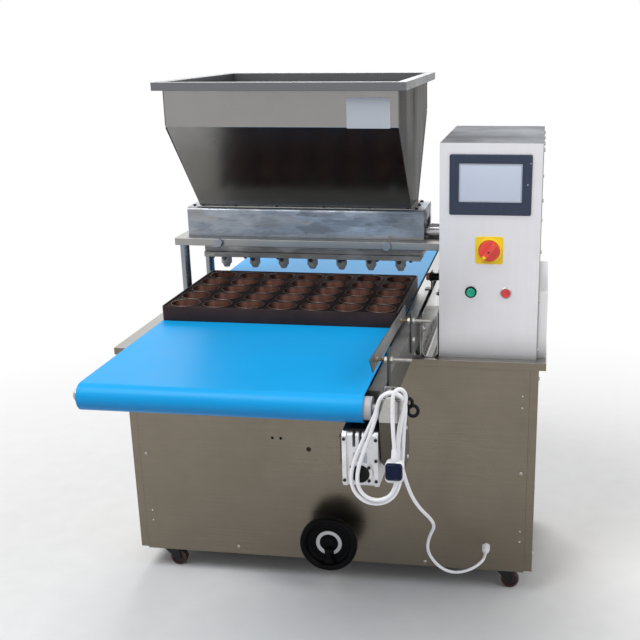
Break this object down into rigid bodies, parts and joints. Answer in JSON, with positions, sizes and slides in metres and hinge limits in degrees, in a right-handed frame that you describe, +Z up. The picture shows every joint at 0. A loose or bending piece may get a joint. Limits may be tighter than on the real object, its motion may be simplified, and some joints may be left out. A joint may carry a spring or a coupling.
{
  "type": "cupcake filling machine",
  "caption": "Cupcake filling machine: a hopper over a roller pump and nozzles above a belt conveyor, on a wheeled cabinet.",
  "frame": {"origin": "on the floor, below the middle of the machine's outline without its power cord", "axes": "+X to the operator's right, +Y along the conveyor to the back, +Z up"},
  "size_m": [1.172, 1.58, 1.397],
  "materials": {
    "panel_steel": "satin",
    "box_paint": "satin",
    "bright_steel": "polished",
    "frame_paint": "satin",
    "milled_aluminium": "satin",
    "machined_steel": "satin",
    "belt_blue": "satin",
    "tray_bronze": "satin",
    "black_plastic": "matte",
    "slate_plastic": "matte",
    "touch_screen": "gloss",
    "switch_yellow": "gloss",
    "switch_red": "gloss",
    "button_green": "gloss",
    "button_red": "gloss",
    "zinc_steel": "satin",
    "caster_rubber": "satin",
    "cast_grey": "cast",
    "cord_white": "satin",
    "plug_navy": "satin",
    "sensor_orange": "satin",
    "drive_rubber": "matte"
  },
  "bodies": {
    "cabinet": {"base_frame": "frame_paint", "front_panel": "panel_steel", "left_panel": "panel_steel", "right_panel": "panel_steel", "back_panel": "panel_steel", "deck": "panel_steel", "control_box": "box_paint", "control_side_cover": "box_paint", "side_duct": "box_paint", "hmi_bezel": "slate_plastic", "hmi_screen": "touch_screen", "switch_plate": "switch_yellow", "button_bezels": "bright_steel", "electrical_plate": "black_plastic", "conveyor_frame": "frame_paint", "conveyor_belt": "belt_blue", "drive_belt": "drive_rubber", "drive_guard": "bright_steel", "gearbox": "cast_grey", "gear_motor": "cast_grey", "support_trough": "bright_steel", "guide_brackets": "zinc_steel", "tray_sensor": "sensor_orange", "post_bushes": "black_plastic", "shaft_bearings": "cast_grey", "cable_gland": "cord_white", "cord_tail": "cord_white", "cord_hank": "cord_white", "plug": "plug_navy"},
    "head": {"head_frame": "milled_aluminium", "manifold": "milled_aluminium", "nozzle_bar": "milled_aluminium", "nozzles": "machined_steel", "hopper": "bright_steel", "frame_knobs": "machined_steel", "posts": "machined_steel", "lift_yoke": "frame_paint", "pump_drive": "cast_grey"},
    "handwheel": {"handwheel": "black_plastic", "wheel_shaft": "machined_steel"},
    "front_roller": {"front_roller": "machined_steel"},
    "rear_roller": {"rear_roller": "machined_steel"},
    "lead_screw": {"lead_screw": "machined_steel"},
    "wheel_handle": {"wheel_handle": "black_plastic"},
    "green_button": {"green_button": "button_green"},
    "red_button": {"red_button": "button_red"},
    "switch_knob": {"switch_knob": "switch_red"},
    "drive_roller": {"drive_roller": "machined_steel"},
    "idler_roller": {"idler_roller": "machined_steel"},
    "output_pulley": {"output_pulley": "machined_steel"},
    "tray": {"tray": "tray_bronze"},
    "guide_rail": {"guide_rail": "bright_steel"},
    "caster_fork_front_left": {"caster_fork_front_left": "zinc_steel"},
    "caster_wheel_front_left": {"caster_wheel_front_left": "caster_rubber"},
    "caster_fork_front_right": {"caster_fork_front_right": "zinc_steel"},
    "caster_wheel_front_right": {"caster_wheel_front_right": "caster_rubber"},
    "caster_fork_rear_left": {"caster_fork_rear_left": "zinc_steel"},
    "caster_wheel_rear_left": {"caster_wheel_rear_left": "caster_rubber"},
    "caster_fork_rear_right": {"caster_fork_rear_right": "zinc_steel"},
    "caster_wheel_rear_right": {"caster_wheel_rear_right": "caster_rubber"}
  },
  "joints": [
    {"name": "head_lift", "type": "slide", "parent": "cabinet", "child": "head", "axis": [0, 0, 1], "range_m": [-0.01, 0.07]},
    {"name": "handwheel_turn", "type": "hinge", "parent": "cabinet", "child": "handwheel", "pos_m": [0.01, -0.16, 0.162], "axis": [0, 1, 0], "range_deg": [-361, 2521]},
    {"name": "screw_turn", "type": "hinge", "parent": "cabinet", "child": "lead_screw", "pos_m": [0.01, 0.135, 0.38], "axis": [0, 0, 1], "range_deg": [-2521, 361]},
    {"name": "handle_fold", "type": "hinge", "parent": "handwheel", "child": "wheel_handle", "pos_m": [0.01, -0.16, 0.112], "axis": [1, 0, 0], "range_deg": [0, 90]},
    {"name": "main_switch_turn", "type": "hinge", "parent": "cabinet", "child": "switch_knob", "pos_m": [0.432, -0.09, 0.98], "axis": [0, 1, 0], "range_deg": [0, 90]},
    {"name": "green_button_press", "type": "slide", "parent": "cabinet", "child": "green_button", "axis": [0, 1, 0], "range_m": [0, 0.004], "stiffness_N_per_m": 400},
    {"name": "red_button_press", "type": "slide", "parent": "cabinet", "child": "red_button", "axis": [0, 1, 0], "range_m": [0, 0.004], "stiffness_N_per_m": 400},
    {"name": "belt_drive", "type": "hinge", "parent": "cabinet", "child": "drive_roller", "pos_m": [-0.077, -0.72, 0.79], "axis": [1, 0, 0], "continuous": true},
    {"name": "belt_return", "type": "hinge", "parent": "cabinet", "child": "idler_roller", "pos_m": [-0.077, 0.75, 0.79], "axis": [1, 0, 0], "continuous": true},
    {"name": "gearbox_output", "type": "hinge", "parent": "cabinet", "child": "output_pulley", "pos_m": [0.28, -0.692, 0.6955], "axis": [1, 0, 0], "continuous": true},
    {"name": "front_roller_turn", "type": "hinge", "parent": "head", "child": "front_roller", "pos_m": [-0.077, 0.0985, 0.99], "axis": [1, 0, 0], "continuous": true},
    {"name": "rear_roller_turn", "type": "hinge", "parent": "head", "child": "rear_roller", "pos_m": [-0.077, 0.1715, 0.99], "axis": [1, 0, 0], "continuous": true},
    {"name": "tray_travel", "type": "slide", "parent": "cabinet", "child": "tray", "axis": [0, 1, 0], "range_m": [-0.45, 0.55]},
    {"name": "guide_adjust", "type": "slide", "parent": "cabinet", "child": "guide_rail", "axis": [1, 0, 0], "range_m": [-0.005, 0.012]},
    {"name": "swivel_front_left", "type": "hinge", "parent": "cabinet", "child": "caster_fork_front_left", "pos_m": [-0.49, -0.04, 0.072], "axis": [0, 0, 1], "continuous": true},
    {"name": "roll_front_left", "type": "hinge", "parent": "caster_fork_front_left", "child": "caster_wheel_front_left", "pos_m": [-0.472, -0.04, 0.025], "axis": [0, 1, 0], "continuous": true},
    {"name": "swivel_front_right", "type": "hinge", "parent": "cabinet", "child": "caster_fork_front_right", "pos_m": [0.49, -0.04, 0.072], "axis": [0, 0, 1], "continuous": true},
    {"name": "roll_front_right", "type": "hinge", "parent": "caster_fork_front_right", "child": "caster_wheel_front_right", "pos_m": [0.508, -0.04, 0.025], "axis": [0, 1, 0], "continuous": true},
    {"name": "swivel_rear_left", "type": "hinge", "parent": "cabinet", "child": "caster_fork_rear_left", "pos_m": [-0.49, 0.368, 0.072], "axis": [0, 0, 1], "continuous": true},
    {"name": "roll_rear_left", "type": "hinge", "parent": "caster_fork_rear_left", "child": "caster_wheel_rear_left", "pos_m": [-0.49, 0.386, 0.025], "axis": [1, 0, 0], "continuous": true},
    {"name": "swivel_rear_right", "type": "hinge", "parent": "cabinet", "child": "caster_fork_rear_right", "pos_m": [0.49, 0.368, 0.072], "axis": [0, 0, 1], "continuous": true},
    {"name": "roll_rear_right", "type": "hinge", "parent": "caster_fork_rear_right", "child": "caster_wheel_rear_right", "pos_m": [0.49, 0.386, 0.025], "axis": [1, 0, 0], "continuous": true}
  ],
  "couplings": [
    {"joint": "handwheel_turn", "follows": "head_lift", "rad_per_m": 628.32},
    {"joint": "screw_turn", "follows": "head_lift", "rad_per_m": -628.32},
    {"joint": "belt_return", "follows": "belt_drive", "ratio": 1},
    {"joint": "gearbox_output", "follows": "belt_drive", "ratio": 0.80952},
    {"joint": "rear_roller_turn", "follows": "front_roller_turn", "ratio": -1}
  ]
}
